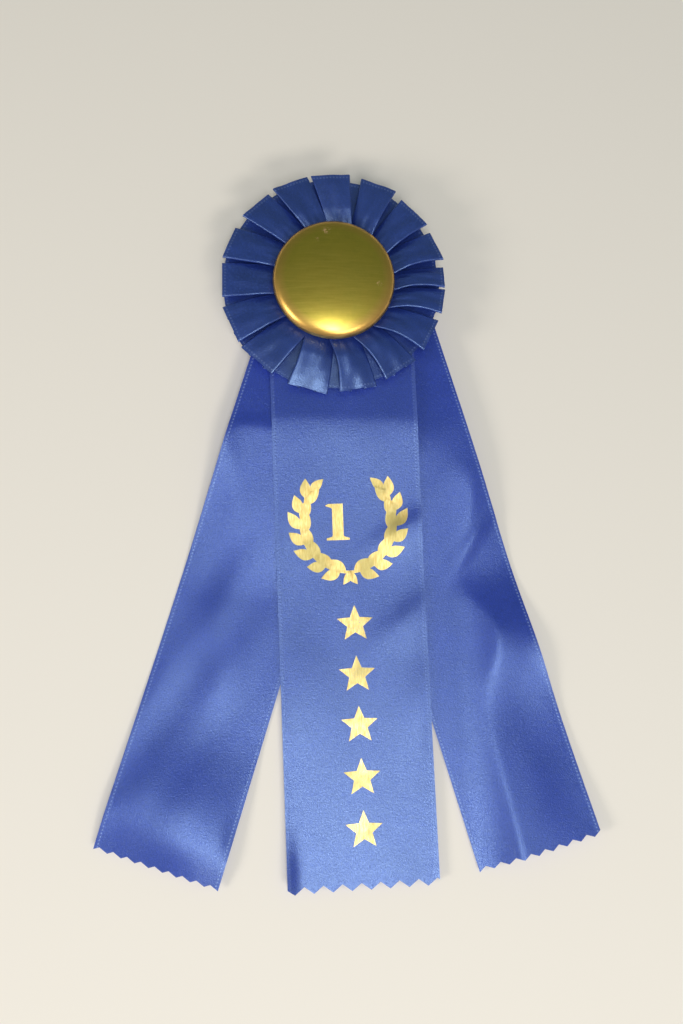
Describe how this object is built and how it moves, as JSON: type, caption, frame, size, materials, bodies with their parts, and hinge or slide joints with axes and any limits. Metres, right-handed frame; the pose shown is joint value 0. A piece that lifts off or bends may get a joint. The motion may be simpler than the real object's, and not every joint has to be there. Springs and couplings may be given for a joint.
{
  "type": "award ribbon",
  "caption": "Award rosette with a domed button, a pleated satin ruffle, pinked satin tails and a bar pin on the back.",
  "frame": {"origin": "centre of the ribbon's outline, on the surface it lies on", "axes": "+Z out of the rosette's face, +Y from the cut ends of the tails towards the rosette, +X to the right of someone looking at the face"},
  "size_m": [0.1676, 0.244, 0.0212],
  "materials": {
    "satin_ribbon": "woven satin, soft sheen",
    "button_brass": "polished, lightly scratched",
    "bright_steel": "bright nickel-plated wire and strip",
    "white_card": "uncoated pressed card",
    "label_paper": "smooth paper card",
    "clear_glue": "set hot glue",
    "blue_thread": "twisted thread"
  },
  "bodies": {
    "rosette": {"button_shell": "button_brass", "button_back": "bright_steel", "centre_plug": "clear_glue", "stitch_ring": "blue_thread", "pleated_ruffle": "satin_ribbon", "front_card": "white_card", "tail_rivet_left": "button_brass", "tail_rivet_right": "button_brass", "staple_left": "bright_steel", "staple_right": "bright_steel", "centre_tail_top": "satin_ribbon", "back_card": "white_card", "label_card": "label_paper", "pin_bar": "bright_steel", "pin_rivet": "button_brass"},
    "centre_tail": {"centre_tail": "satin_ribbon"},
    "left_tail": {"left_tail": "satin_ribbon"},
    "right_tail": {"right_tail": "satin_ribbon"},
    "pin_needle": {"pin_needle": "bright_steel"}
  },
  "joints": [
    {"name": "centre_tail_lift", "type": "hinge", "parent": "rosette", "child": "centre_tail", "pos_m": [-0.00161, 0.04108, 0.0083], "axis": [-1, 0, 0], "range_deg": [0, 60]},
    {"name": "left_tail_fan", "type": "hinge", "parent": "rosette", "child": "left_tail", "pos_m": [-0.02208, 0.07508, 0.007], "axis": [0, 0, -1], "range_deg": [-3, 8]},
    {"name": "right_tail_fan", "type": "hinge", "parent": "rosette", "child": "right_tail", "pos_m": [0.01992, 0.07508, 0.0058], "axis": [0, 0, 1], "range_deg": [-3, 8]},
    {"name": "pin_needle_open", "type": "hinge", "parent": "rosette", "child": "pin_needle", "pos_m": [-0.01838, 0.09508, 0.0019], "axis": [0, 1, 0], "range_deg": [0, 75]}
  ]
}
